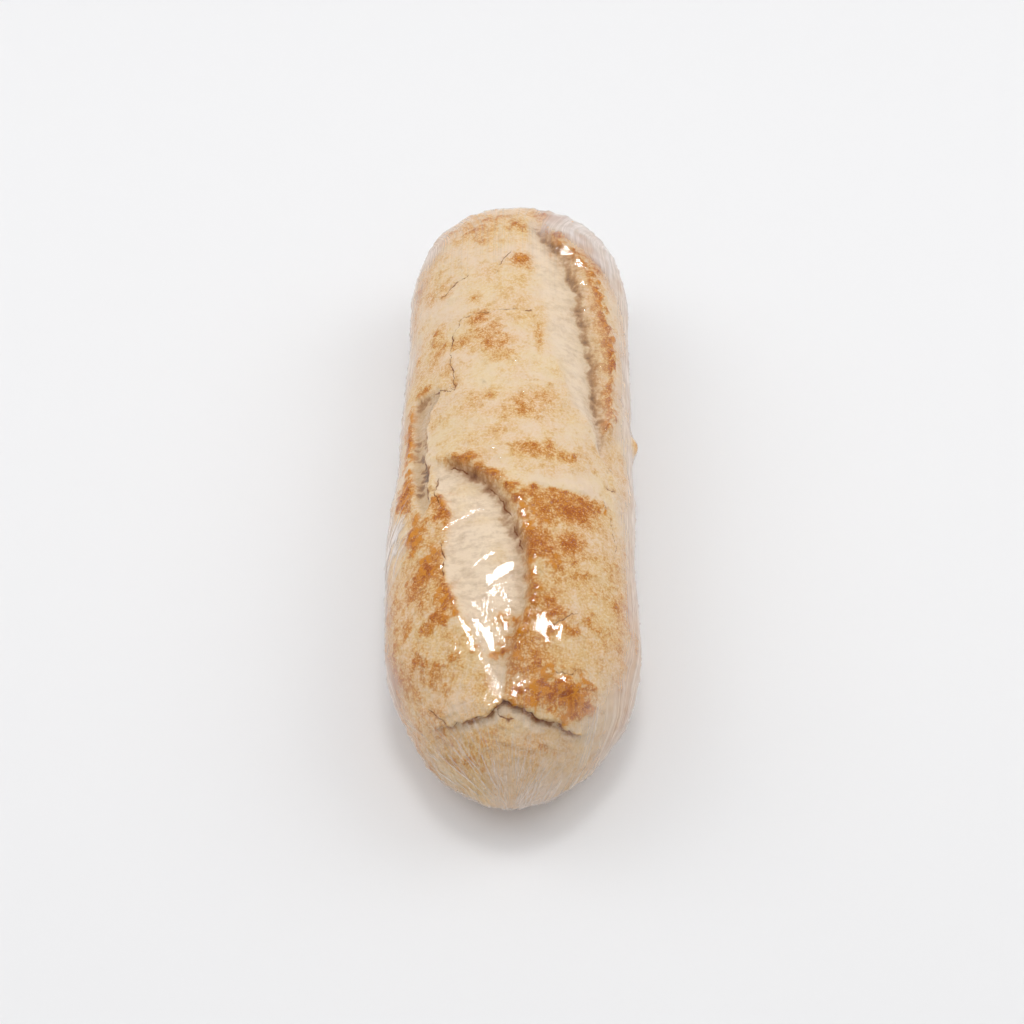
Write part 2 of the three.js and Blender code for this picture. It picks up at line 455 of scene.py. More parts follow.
# Lines of painted shade: the hairlines, the lips' undercut, the middle tear's bottom and the left strip's
# plate edge, each with its half width in mm
SHADE_LINES = [(line, 0.20 * broken) for line in cracks]
SHADE_LINES += [(lips, 0.28 * lip_share * (0.5 + 0.5 * broken))]
SHADE_LINES += [(tear_middle["bottom"], 0.34 * SHADE["middle"] * (1.6 * broken - 0.6))]
SHADE_LINES += [(tear_left["plate"], 0.30 * broken)]
for line, width in SHADE_LINES:
    nearer = line.distance < np.abs(shade_line_side)
    shade_line_side = np.where(nearer, line.side * line.distance, shade_line_side)
    shade_line_width = np.where(nearer, width * np.clip(line.fade(0.08) * 1.5, 0, 1), shade_line_width)
shade_line_width *= smooth_step(-np.abs(shade_line_side), -1.7, -1.1)
print("cracked share:", round(float((crack_share > 0.3).mean()), 4))

# %% [markdown]
# ## Bake
# The oven browns whatever stands proud or catches the heat: ears, thin plates and the strip beside
# each tear. Broad smudges are listed, as (degrees, millimetres along, half width across,
# half length, strength), and noise breaks them up. The palest part is the crumb inside the tears.

# %% Spots of bake and caramel
SMUDGES = [
    (4, 90, 7, 6, 0.60), (-25, 86, 9, 7, 0.54), (-14, 95, 8, 5, 0.50), (-45, 90, 9, 9, 0.50),
    (3, 71, 5, 4, 0.66), (13, 68, 7, 4, 0.50),
    (-48, 64, 7, 9, 0.46), (-25, 54, 3, 4, 0.58), (-49, 37, 8, 12, 0.46), (-40, 24, 4, 5, 0.42),
    (-24, 42, 6, 6, 0.60), (-20, 37, 7, 6, 0.62), (-31, 34, 7, 6, 0.54), (-15, 31, 8, 6, 0.60),
    (-8, 25, 7, 6, 0.54), (13, 36, 2.5, 11, 0.52), (3, 61, 4, 7, 0.42),
    (-16, 8, 6, 4, 0.46), (4, 2, 10, 8, 0.52), (12, 6, 6, 7, 0.46),
    (-11, -7, 9, 4, 0.48), (14, -15, 15, 5, 0.56), (30, -17, 8, 5, 0.53), (-45, 2, 4, 4, 0.40),
    (38, 86, 10, 11, 0.54), (50, 76, 9, 11, 0.56), (27, 98, 10, 8, 0.62), (34, 92, 8, 6, 0.60),
    (-29, -18, 11, 2.5, 0.66),
    (-39, -35, 5, 9, 0.82), (18, -38, 12, 9, 0.74), (35, -36, 9, 7, 0.70), (12, -51, 8, 9, 0.64),
    (26, -50, 11, 9, 0.62), (25, -60, 12, 9, 0.50), (16, -72, 7, 5, 0.66), (28, -78, 5, 3, 0.74),
    (40, -60, 8, 12, 0.40), (-36, -66, 6, 7, 0.84), (-52, -63, 10, 12, 0.62), (-44, -74, 7, 4, 0.70),
    (-61, -72, 6, 6, 0.60), (-46, -88, 13, 8, 0.50), (-56, -83, 5, 4, 0.62), (-24, -92, 6, 5, 0.48),
    (47, -76, 11, 12, 0.44), (3, -95, 6, 2.5, 0.72), (29, -96, 14, 6.5, 0.84), (14, -97, 7, 3, 0.74),
    (-75, -104, 6, 3, 0.50), (37, -108, 7, 2, 0.62), (-66, -109, 4, 1.5, 0.58), (-50, -105, 4, 1.5, 0.52),
    (-54, -42, 6, 11, 0.82), (-47, -56, 7, 9, 0.80), (-60, -22, 6, 9, 0.80), (-65, 4, 4, 12, 0.76),
    (-56, 20, 5, 2, 0.60),
    (70, 40, 8, 24, 0.40), (-72, 60, 8, 20, 0.40), (80, -50, 9, 27, 0.48), (-85, -60, 9, 24, 0.48),
    (95, 20, 9, 32, 0.50), (-95, 10, 9, 36, 0.50), (60, 95, 9, 9, 0.58), (-60, 92, 9, 9, 0.52),
    (0, 108, 16, 5, 0.56), (52, -55, 6, 8, 0.42), (-70, -88, 6, 8, 0.48),
]
CARAMEL = [
    (-60, -24, 4, 6, 1.0), (-66, 8, 3, 8, 1.1), (-64, -5, 3.5, 8, 1.2), (-62, -16, 3, 6, 1.1),
    (-54, -42, 4, 10, 1.0),
    (-47, -54, 4, 8, 0.9), (-40, -34, 3.5, 7, 0.8), (5, -60, 2.4, 10, 0.9), (-6, -75, 4, 2.6, 1.3),
    (-2, -80, 3.4, 2.2, 1.3), (-9, -85, 4, 3, 1.3), (-23, -83, 2.0, 2.0, 0.9), (19, -90, 3, 3, 1.0),
    (22, -96, 9, 4.5, 1.15), (34, -96.5, 9, 4.5, 1.15), (42, -92, 4, 3, 0.9), (-38, -65, 4, 5, 0.9),
    (-30, -72, 3, 4, 0.9), (-44, -74, 5, 2.5, 0.6), (-68, -100, 2, 1, 0.8),
    (10, -42, 4, 8, 0.7), (18, -57, 4, 3, 0.6), (49, -31, 3, 3, 0.7), (24, -33, 10, 3, 0.45),
    (4, 88, 3, 2, 0.5), (2, 72, 2, 2, 0.7), (-25, 54, 1.2, 1.8, 0.6), (28, -78, 4, 1.5, 0.7),
    (22, 76, 1, 2, 0.8), (-29, -19, 7, 1.2, 0.5), (8, -95.5, 6, 1.2, 0.9),
]
CRUMB_STROKES = [  # where the crumb in the middle tear is toasted
    (-27, -28, 5, 3, 0.60), (-20, -40, 7, 2.0, 0.45), (-10, -53, 3, 4, 0.55), (-31, -35, 3, 4, 0.45),
    (-6, -75, 5, 3, 1.0), (-2, -80, 4, 2.6, 1.0), (-9, -85, 5, 3.4, 1.0),
]
print(len(SMUDGES), "smudges,", len(CARAMEL), "caramel spots and", len(CRUMB_STROKES), "toasted strokes")


# %% Bake of the plates
def browned(spots, roughness):
    """The strongest spot at each point, softened and broken up by noise of this strength."""
    strongest = np.zeros(len(along))
    for spot_degrees, spot_along, across, length, amount in spots:
        miss = np.hypot((degrees - spot_degrees) * MM_PER_DEGREE, along - spot_along)
        offset = (rest - rest[int(np.argmin(miss))]) / MM
        far = np.hypot(np.hypot(offset[:, 0], offset[:, 2]) / across, offset[:, 1] / length)
        share = smooth_step(1.65 - far + roughness * breakup, 0, 1.6)
        strongest = np.maximum(strongest, amount * share)
    return strongest


breakup = 0.65 * speckle(7, 9, 4) + 0.45 * speckle(2.4, 10, 2)
torn *= 1 - browned(CRUMB_STROKES, 0.5)
near_half = smooth_step(-along, 30, 60)
flank = smooth_step(np.abs(degrees), 40, 75)
bake = 0.19 + (0.18 - 0.08 * smooth_step(degrees, 10, 50)) * near_half + 0.05 * flank
bake += 0.11 * smooth_step(along, 66, 98) + 0.20 * speckle(19, 11, 4) + 0.13 * speckle(6, 12, 3)
bake = np.maximum(bake, browned(SMUDGES, 0.42) + 0.16 * breakup - 0.04)
at_step = square_edge.fade(0.06) * np.exp(-(square_edge.distance / 4.5) ** 2)
bake += at_step * (0.25 - 0.60 * behind_step)
caramel = browned(CARAMEL, 0.60) * smooth_step(speckle(2.0, 13, 3) + 0.35 * wander[2], -0.25, 0.30)
print("mean bake of the plates:", round(float(bake.mean()), 3))

# %% Bake of the ears, walls, sole and nose
WALL_BAKE = {"right": 0.42, "middle": 0.24}
EAR_BAKE = {"right": (0.40, 0.60), "middle": (0.58, 0.40)}  # the ear's tone, and how much it changes
for key, (tear, *_) in TEARS.items():
    on_ear = np.exp(-(tear["ear"].distance / 3.0) ** 2) * tear["ear"].fade(0.08)
    ear_tone, ear_change = EAR_BAKE[key]
    bake = np.maximum(bake, on_ear * np.clip(ear_tone + ear_change * speckle(3.2, 14, 3), 0, 1))
    wall_bake = WALL_BAKE[key] + 0.25 * walls[key].across + 0.30 * crumb_lumps
    bake = np.maximum(bake, wall_bake * walls[key].share)
    caramel = np.maximum(caramel, 0.75 * on_ear * smooth_step(speckle(2.0, 15, 2), 0.12, 0.5))
bake = np.maximum(bake * (1 - 0.9 * np.clip(torn, 0, 1)), 0.30 * left_strip.share)
caramel *= 1 - at_step * behind_step
sole_share = smooth_step(-outward[:, 2], 0.55, 0.85) * smooth_step(8 * MM - rest[:, 2], 0, 5 * MM)
bake = np.clip(np.maximum(bake, 0.62 * sole_share), 0, 1.2)
nose = smooth_step(-along, 93, 101) * smooth_step(rest[:, 2] / MM, -8, 6)
# a duller, greyer tone on the left strip and the near half, and painted shade on the nose, which faces away
# from the lamps, and on the crumb near the tear bottoms
dull_and_shade = 0.50 * nose * (1 - 0.5 * breakup) + 0.9 * left_strip.share + 0.12 * near_half + bottom_grey_shade
dull_and_shade = np.clip(dull_and_shade, 0, 1)
grey_shade = 1.8 * bottom_grey_shade * (0.35 + 0.65 * smooth_step(along, -14, -4)) + left_strip.share
grey_shade = np.clip(grey_shade, 0, 1)
bake -= 0.09 * nose
print("mean bake:", round(float(bake.mean()), 3), " caramel share:", round(float((caramel > 0.4).mean()), 4))

# %% [markdown]
# ## Blisters, pores and grain
# Steam raises small blisters where the crust is thin and well baked. Each is a low dome on a point
# chosen at random, more of them where the bake is strong and none on torn crumb. A few large ones
# are listed, as (degrees, millimetres along, radius), and a chain of them ends each ear. A
# k-d tree finds the domes near each point quickly.

# %% Where the blisters are
SIDE_BLISTER = (86, 12, 4.2)  # the largest, which shows past the right side
BIG_BLISTERS = [
    SIDE_BLISTER, (54, 4, 2.4), (57, 16, 1.8), (58, 30, 1.7), (-64, 8, 2.0), (-63, 1, 1.7),
    (-62, -6, 2.0), (-60, -12, 1.6), (-59, -20, 1.8),
    (33, -93, 3.2), (-56, -40, 1.9), (47, -30, 2.0), (29, 80, 1.8), (-12, -83, 1.8), (-4, -78, 1.6),
    (8, -62, 1.6), (8, -52, 1.7), (20, 66, 1.4), (53, 60, 1.8), (-12, 35, 1.3), (-8, 29, 1.2),
    (-1, 23, 1.3), (17, 18, 1.3), (19, 13, 1.2), (25, 5, 1.4),
]
from_side_blister = np.hypot((degrees - SIDE_BLISTER[0]) * MM_PER_DEGREE, along - SIDE_BLISTER[1])
bake += 0.10 * np.exp(-(from_side_blister / 3.5) ** 2)
rng = np.random.default_rng(7)
BLISTER_COUNT = 5200
chance = 0.03 + np.clip(bake - 0.35, 0, 1) ** 1.5 + 1.2 * caramel
chance[torn > 0.4] = 0  # crumb has pores, and doesn't blister
chance[sole_share > 0.2] = 0.02
centres = list(rng.choice(len(along), BLISTER_COUNT, replace=False, p=chance / chance.sum()))
radii = list(rng.uniform(0.45, 1.35, BLISTER_COUNT) * rng.uniform(0.7, 1.3, BLISTER_COUNT))
for tear, *_ in TEARS.values():  # the ears end in a chain of bubbles
    u_line, v_line = tear["ear"].corners.T
    for place in np.arange(0.08, 0.93, 0.038):
        corner = place * (len(u_line) - 1)
        u_spot = np.interp(corner, range(len(u_line)), u_line) + rng.uniform(-0.2, 1.4)
        v_spot = np.interp(corner, range(len(v_line)), v_line) + rng.uniform(-0.8, 0.8)
        BIG_BLISTERS.append((u_spot / MM_PER_DEGREE, v_spot, rng.uniform(1.2, 2.3)))
for blister_degrees, blister_along, radius in BIG_BLISTERS:
    miss = np.hypot((degrees - blister_degrees) * MM_PER_DEGREE, along - blister_along)
    centres.append(int(np.argmin(miss)))
    radii.append(radius)
print(BLISTER_COUNT, "small blisters and", len(BIG_BLISTERS), "large ones")

# %% Domes, grain and pores
small = KDTree(BLISTER_COUNT)
for number in range(BLISTER_COUNT):
    small.insert(Vector(rest[centres[number]] / MM), number)
small.balance()
dome = np.zeros(len(along))
for point, place in enumerate((rest / MM).tolist()):
    for _, number, distance in small.find_n(place, 3):
        share = 1 - (distance / radii[number]) ** 2
        if share > 0:
            dome[point] = max(dome[point], 0.45 * radii[number] * share)
for centre, radius in zip(centres[BLISTER_COUNT:], radii[BLISTER_COUNT:]):
    share = np.clip(1 - (np.linalg.norm(rest - rest[centre], axis=1) / MM / radius) ** 2, 0, 1)
    dome = np.maximum(dome, 0.6 * radius * share)
grain = 0.13 * speckle(1.9, 16, 2) + 0.06 * speckle(1.0, 17, 1)
pores = np.clip(speckle(2.6, 18, 2) - 0.45, 0, 1)
height += dome + grain * (1 - 0.7 * sole_share) - 0.5 * pores * (1 - torn)
bake += 0.22 * np.clip(dome / 0.6, 0, 1) * smooth_step(bake, 0.3, 0.6)
print("blistered share:", round(float((dome > 0.05).mean()), 3))

# %% Move the crust to its new height
TIP_Y = 115.5  # from the middle to where the relief has faded at the two tips
height *= 1 - sole_share
tip_fade = np.clip((TIP_Y - np.abs(along)) / 3, 0.3, 1)
moved = rest + outward * (height * tip_fade * MM)[:, None]
moved[:, 0] -= lean * MM * (1 - sole_share)
moved[:, 1] += tip_push * MM
moved[:, 2] = np.maximum(moved[:, 2], loaf_low.z)
move_to(loaf, moved)
choose(loaf)
bpy.ops.object.shade_smooth()
CRUST_VALUES = {
    "bake": bake, "caramel": caramel, "torn": np.clip(torn, 0, 1), "dark": np.clip(dark, 0, 1),
    "dull_and_shade": dull_and_shade, "shade_line_side": shade_line_side, "grey_shade": grey_shade, "shade_line_width": shade_line_width,
}
for name, values in CRUST_VALUES.items():
    store(loaf, name, values)
print("loaf in mm:", [round(float(v) / MM, 1) for v in moved.max(0) - moved.min(0)])

# %% [markdown]
# ## What the crust is made of
# Crust goes from cream to ochre to red-brown as it bakes, so one colour ramp follows the stored bake,
# and noise at three sizes breaks it up as flour, steam and dough do. Caramel is darker and a little
# shiny, crumb in the tears is pale and stringy, and the painted shade in the deepest lines is brown,
# never black. Values stored on the mesh were chosen over painted pictures because they stay sharp at
# any distance. The colour is built up in coats, each mixed over the last: bake, caramel, flour, crumb,
# painted shade, painted shade lines.

# %% Node helpers
def node_tree(material):
    material.use_nodes = True
    tree = material.node_tree
    tree.nodes.clear()
    return tree


def add_node(tree, kind, inputs=(), **settings):
    """A shader node. Each input is either another node's socket, which is linked, or a value."""
    node = tree.nodes.new("ShaderNode" + kind)
    for key, value in settings.items():
        setattr(node, key, value)
    for key, value in dict(inputs).items():
        if isinstance(value, bpy.types.NodeSocket):
            tree.links.new(value, node.inputs[key])
        else:
            node.inputs[key].default_value = value
    return node


def combine(tree, operation, first, second=0.0, clamp=False):
    return add_node(tree, "Math", {0: first, 1: second}, operation=operation, use_clamp=clamp).outputs[0]


def total(tree, *terms):
    """The sum of some (value, share) pairs."""
    result = 0.0
    for value, share in terms:
        result = combine(tree, "ADD", result, combine(tree, "MULTIPLY", value, share))
    return result


print("node helpers ready")


# %% Helpers for stored values, colours, noise and place
def attribute(tree, name):
    return add_node(tree, "Attribute", attribute_name=name, attribute_type="GEOMETRY").outputs["Fac"]


def mixed(tree, share, first, second, blend="MIX"):
    node = tree.nodes.new("ShaderNodeMix")
    node.data_type = "RGBA"
    node.blend_type = blend
    for index, value in ((0, share), (6, first), (7, second)):
        if isinstance(value, bpy.types.NodeSocket):
            tree.links.new(value, node.inputs[index])
        elif index == 0:
            node.inputs[index].default_value = value
        else:
            node.inputs[index].default_value = (*value, 1)
    return node.outputs[2]


def noise_value(tree, vector, scale, detail=3, roughness=0.55):
    inputs = {"Vector": vector, "Scale": scale, "Detail": detail, "Roughness": roughness}
    return add_node(tree, "TexNoise", inputs).outputs["Fac"]


def remapped(tree, value, low, high, to_low=0.0, to_high=1.0):
    inputs = {"Value": value, "From Min": low, "From Max": high, "To Min": to_low, "To Max": to_high}
    return add_node(tree, "MapRange", inputs).outputs[0]


def placed(tree, scale=(1, 1, 1)):
    coordinates = add_node(tree, "TexCoord")
    return add_node(tree, "Mapping", {"Vector": coordinates.outputs["Object"], "Scale": scale}).outputs[0]


print("colour and noise helpers ready")

# %% Crust material: noise and the bake's colour
BAKE_COLOURS = [
    (0.02, (0.77, 0.63, 0.47)), (0.22, (0.75, 0.57, 0.37)), (0.40, (0.70, 0.46, 0.22)),
    (0.60, (0.58, 0.26, 0.054)), (0.80, (0.48, 0.155, 0.016)), (1.05, (0.34, 0.075, 0.007)),
]
RAMP_SPAN = 1.1  # the tone at the ramp's right end
WARM_TINT, YELLOW_TINT = (1.06, 1.01, 1.0), (1.05, 1.015, 0.865)

crust = bpy.data.materials.new("crust")
tree = node_tree(crust)
here = placed(tree)
flour = noise_value(tree, here, 1500, 2, 0.7)
fine = noise_value(tree, here, 560, 3, 0.65)
mottle = noise_value(tree, here, 170, 4, 0.62)
bake_in, caramel_in, torn_in = (attribute(tree, name) for name in ("bake", "caramel", "torn"))
strength = total(tree, (bake_in, 1.15), (0.42, 1.0))
detail = total(tree, (fine, 0.75), (flour, 1.45), (-1.10, 1.0))
detail_here = combine(tree, "MULTIPLY", detail, strength)
tone = total(tree, (bake_in, 1.0), (mottle, 0.50), (-0.25, 1.0), (detail_here, 1.0))

ramp = add_node(tree, "ValToRGB", {"Fac": combine(tree, "DIVIDE", tone, RAMP_SPAN)})
stops = ramp.color_ramp.elements
for stop, (baked, stop_colour) in zip(stops, (BAKE_COLOURS[0], BAKE_COLOURS[-1])):
    stop.position = baked / RAMP_SPAN
    stop.color = (*stop_colour, 1)
for baked, stop_colour in BAKE_COLOURS[1:-1]:
    stops.new(baked / RAMP_SPAN).color = (*stop_colour, 1)

warmth = noise_value(tree, here, 75, 3, 0.55)
yellowing = total(tree, (warmth, 1.0), (fine, 0.7), (-0.35, 1.0))
tint = mixed(tree, remapped(tree, yellowing, 0.34, 0.66), WARM_TINT, YELLOW_TINT)
colour = mixed(tree, 1.0, ramp.outputs[0], tint, "MULTIPLY")
print("colours of the bake:", len(stops))

# %% Crust material: caramel, flour and crumb
CARAMEL_LIGHT, CARAMEL_DARK = (0.66, 0.255, 0.018), (0.30, 0.032, 0.002)
CRUMB_DARK, CRUMB_LIGHT = (0.60, 0.44, 0.30), (0.87, 0.71, 0.54)
FLOUR = (0.78, 0.64, 0.48)
# tint for the duller tone and for the painted shade on the nose and near the tear bottoms
DULL_AND_SHADE_TINT = (0.76, 0.71, 0.62)
PIT_BROWN = (0.26, 0.13, 0.05)

speckled = total(tree, (caramel_in, 1.0), (mottle, 0.9), (fine, 1.1), (-1.0, 1.0))
caramel_tone = mixed(tree, remapped(tree, speckled, 0.80, 1.55), CARAMEL_LIGHT, CARAMEL_DARK)
caramel_share = remapped(tree, speckled, 0.28, 0.68)
colour = mixed(tree, caramel_share, colour, caramel_tone)
flour_left = remapped(tree, caramel_in, 0, 1, 0.42, 0.04)
dusting = combine(tree, "MULTIPLY", remapped(tree, flour, 0.58, 0.70), flour_left)
colour = mixed(tree, dusting, colour, FLOUR)
strand = noise_value(tree, placed(tree, (0.75, 1.15, 0.85)), 330, 5, 0.72)
crumb = mixed(tree, remapped(tree, strand, 0.30, 0.56), CRUMB_DARK, CRUMB_LIGHT)
colour = mixed(tree, combine(tree, "MULTIPLY", torn_in, 0.9, True), colour, crumb)
# duller tone, and painted shade on the nose and near the tear bottoms
colour = mixed(tree, attribute(tree, "dull_and_shade"), colour, DULL_AND_SHADE_TINT, "MULTIPLY")
pit = remapped(tree, mottle, 0.34, 0.24)
colour = mixed(tree, combine(tree, "MULTIPLY", pit, 0.35), colour, PIT_BROWN)
print("caramel, flour and crumb:", len(tree.nodes), "nodes so far")

# %% Crust material: painted shade, shade lines and surface
# warm brown at the soft edge of the painted shade, and the brown and grey painted shade
SHADE_HALO_BROWN = (0.50, 0.21, 0.045)
BROWN_SHADE, GREY_SHADE = (0.20, 0.056, 0.013), (0.18, 0.105, 0.065)
# brown of the thin lines of painted shade
SHADE_LINE_BROWN = (0.190, 0.052, 0.010)

# painted shade from the stored darkness, with a warm brown halo at its soft edge
dark_in = total(tree, (attribute(tree, "dark"), 1.0), (mottle, 0.5), (fine, 0.8), (-0.65, 1.0))
shade_halo_here = remapped(tree, torn_in, 0, 1, 0.8, 0.3)
shade_halo = combine(tree, "MULTIPLY", remapped(tree, dark_in, 0.10, 0.5), shade_halo_here)
colour = mixed(tree, shade_halo, colour, SHADE_HALO_BROWN)
shadow = mixed(tree, attribute(tree, "grey_shade"), BROWN_SHADE, GREY_SHADE)
colour = mixed(tree, remapped(tree, dark_in, 0.22, 1.05), colour, shadow)
# thin lines of painted shade, drawn from each point's distance to the nearest one and its half width
off_shade_line = total(tree, (attribute(tree, "shade_line_side"), 1.0), (fine, 0.6), (-0.3, 1.0))
shade_line = combine(tree, "SUBTRACT", attribute(tree, "shade_line_width"), combine(tree, "ABSOLUTE", off_shade_line))
colour = mixed(tree, remapped(tree, shade_line, 0.0, 0.14), colour, SHADE_LINE_BROWN)
relief = total(tree, (fine, 0.7), (flour, 0.5), (combine(tree, "MULTIPLY", strand, torn_in), 0.35))
bump = add_node(tree, "Bump", {"Height": relief, "Strength": 0.9, "Distance": 0.0006})
rough = combine(tree, "SUBTRACT", 0.86, combine(tree, "MULTIPLY", caramel_in, 0.35))
surface = {"Base Color": colour, "Roughness": rough, "Normal": bump.outputs[0]}
shader = add_node(tree, "BsdfPrincipled", surface)
shader.inputs["Specular IOR Level"].default_value = 0.08
add_node(tree, "OutputMaterial", {"Surface": shader.outputs[0]})
loaf.data.materials.clear()
loaf.data.materials.append(crust)
print("crust material:", len(tree.nodes), "nodes")

bpy.data.objects.remove(loaf_form)
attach(loaf, "root")
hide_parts("baguette_loaf")

# %% [markdown]
# ## The film
# Cling film is one thin sheet, cut from a roll. It goes round the loaf with its long edges lapped
# under the sole, its two ends are gathered into pleats low under the tips, and the tails are folded
# flat beneath. The model is made the same way: a flat grid of the cut size is rolled round the loaf,
# drawn in at the ends, and then pulled tight. Pulling tight is Smooth, which acts as tension, taking
# turns with Shrinkwrap, which keeps the sheet outside the crust. Where the crust is hollow the sheet
# bridges it, and where a blister stands up the sheet shows it, as real film does.

# %% A flat sheet
CUT_WIDTH, CUT_LENGTH = 0.260, 0.300  # round the loaf with its lap, and along it with both tails
START_DEGREES = 143  # where the inner edge lies, under the sole to the right
TURNS = 1.24  # once round, and the lap
TAIL = 0.014
CAP_LENGTH = 0.052  # of the sheet, from each gather to the loaf's full section
CAP_Y = {-1: -0.084, 1: 0.090}  # where the loaf's full section begins
GATHER = {-1: Vector((-0.0002, -0.1015, 0.0016)), 1: Vector((0.0022, 0.1055, 0.0016))}
ROWS_ROUND, ROWS_ALONG = 300, 312

bpy.ops.object.select_all(action="DESELECT")
bpy.ops.mesh.primitive_grid_add(x_subdivisions=ROWS_ROUND, y_subdivisions=ROWS_ALONG, size=2, calc_uvs=True)
film = bpy.context.object
film.name = "stretched_film"
flat = positions(film)
across = (flat[:, 0] + 1) / 2
lengthwise = (flat[:, 1] + 1) / 2
turn = np.radians(START_DEGREES + across * 360 * TURNS)
end = np.where(lengthwise < 0.5, -1, 1)
from_gather = np.minimum(lengthwise, 1 - lengthwise) * CUT_LENGTH - TAIL  # below zero on the tails
body_length = CUT_LENGTH - 2 * TAIL - 2 * CAP_LENGTH
body_share = np.clip((lengthwise * CUT_LENGTH - TAIL - CAP_LENGTH) / body_length, 0, 1)
print("sheet:", CUT_WIDTH, "by", CUT_LENGTH, "m,", len(film.data.polygons), "faces")

# %% Roll it round the loaf
crust_tree = BVHTree.FromPolygons(
    [v.co.copy() for v in loaf.data.vertices], [tuple(p.vertices) for p in loaf.data.polygons])
axis = Vector((AXIS_X, 0, AXIS_Z))
FAR = 0.2  # from the axis to well outside the loaf
LOOSE = 0.0004  # how far off the crust the sheet is first laid


def laid_on_crust(centre, direction):
    """The outermost point of the crust from centre in this direction, and a little more."""
    hit = crust_tree.ray_cast(centre + direction * FAR, -direction)[0]
    return (hit if hit else centre) + direction * LOOSE


rolled = np.zeros_like(flat)
for point in range(len(flat)):
    round_dir = Vector((math.sin(turn[point]), 0, math.cos(turn[point])))
    side = int(end[point])
    centre = axis.copy()
    centre.y = CAP_Y[-1] + (CAP_Y[1] - CAP_Y[-1]) * body_share[point]
    cap_share = min(max(from_gather[point] / CAP_LENGTH, 0), 1)
    if cap_share < 1:
        to_gather = (GATHER[side] - centre).normalized()
        round_dir = to_gather.slerp(round_dir, 0.02 + 0.98 * cap_share)
    rolled[point] = laid_on_crust(centre, round_dir)
move_to(film, rolled)
choose(film)
bpy.ops.object.mode_set(mode="EDIT")
bpy.ops.mesh.select_all(action="SELECT")
bpy.ops.mesh.normals_make_consistent(inside=False)
bpy.ops.object.mode_set(mode="OBJECT")
lap = smooth_step(across * TURNS, 0.99, 1.01)
print("rolled", TURNS, "times round, and the lap lies under the sole")

# %% Pull the sheet tight
def weigh(piece, name, weights):
    """A vertex group with these weights, in steps of a sixteenth."""
    group = piece.vertex_groups.new(name=name)
    steps = np.round(np.clip(weights, 0, 1) * 16).astype(int)
    for level in range(1, 17):
        group.add(np.flatnonzero(steps == level).tolist(), level / 16, "REPLACE")


near_edge = np.minimum(across, 1 - across) * CUT_WIDTH
weigh(film, "free", np.clip((from_gather - 0.004) / 0.006, 0, 1) * np.clip(near_edge / 0.003, 0.15, 1))
weigh(film, "body", np.clip((from_gather + 0.001) / 0.002, 0, 1))
CLEAR = 0.00022  # of air between the sheet and the crust where they touch


def pulled(rounds, smoothed, kept_outside):
    """Tension in one vertex group of the film, and then another group pushed outside the crust."""
    applied(film, "SMOOTH", factor=0.6, iterations=rounds, vertex_group=smoothed)
    applied(film, "SHRINKWRAP", target=loaf, wrap_method="NEAREST_SURFACEPOINT", wrap_mode="OUTSIDE",
            offset=CLEAR, vertex_group=kept_outside)


for pull in range(7):
    pulled(9, "free", "body")
print("pulled tight: the film's top is at", round(float(positions(film)[:, 2].max()) / MM, 1), "mm")

# %% [markdown]
# ## Creases and pleats
# Film that is drawn in at the ends stands up in thin pleats that fan out from each gather, and a few
# tension folds cross the crown where it bridges a tear. Both are ridges: pleats follow the length of
# the sheet, and the folds are listed, as (degrees, mm along) from end to end. The sheet is
# smoothed once more under each fold, so that its two slopes shine in long, clean streaks. Seen from
# the nose, the pleats run together at one point, so the material is also told each point's turn
# round that point and its distance from it.

# %% Pleats
PLEAT_RISE = 0.00085


def ridged(wave):
    """Sharp crests from smooth noise: 1 on the crest line, falling away on both sides."""
    return np.clip(1 - np.abs(wave) * 3.2, 0, 1) ** 1.5


def pleat_noise(count, seed):
    """Noise that runs along the sheet: it changes quickly round it and slowly along it."""
    return np.array([
        noise.noise(Vector((a * count / 6.283, s * 4.0 + seed, seed * 1.7)))
        for a, s in zip(turn.tolist(), lengthwise.tolist())
    ])


tight = positions(film)
film_normals = normals(film)
film_degrees = np.degrees(np.arctan2(tight[:, 0] - AXIS_X, tight[:, 2] - AXIS_Z))
film_along = tight[:, 1] / MM
pleat_height = ridged(pleat_noise(26, 1)) + 0.6 * ridged(pleat_noise(55, 2))
reach = np.where(end < 0, 0.017, 0.020)
at_ends = np.exp(-np.maximum(from_gather, 0) / reach) * np.clip(from_gather / 0.006, 0, 1)
on_flanks = 0.22 * smooth_step(np.abs(film_degrees), 45, 75)
lift = PLEAT_RISE * pleat_height * np.maximum(at_ends, on_flanks)
print("highest pleat in mm:", round(float(lift.max()) / MM, 2))

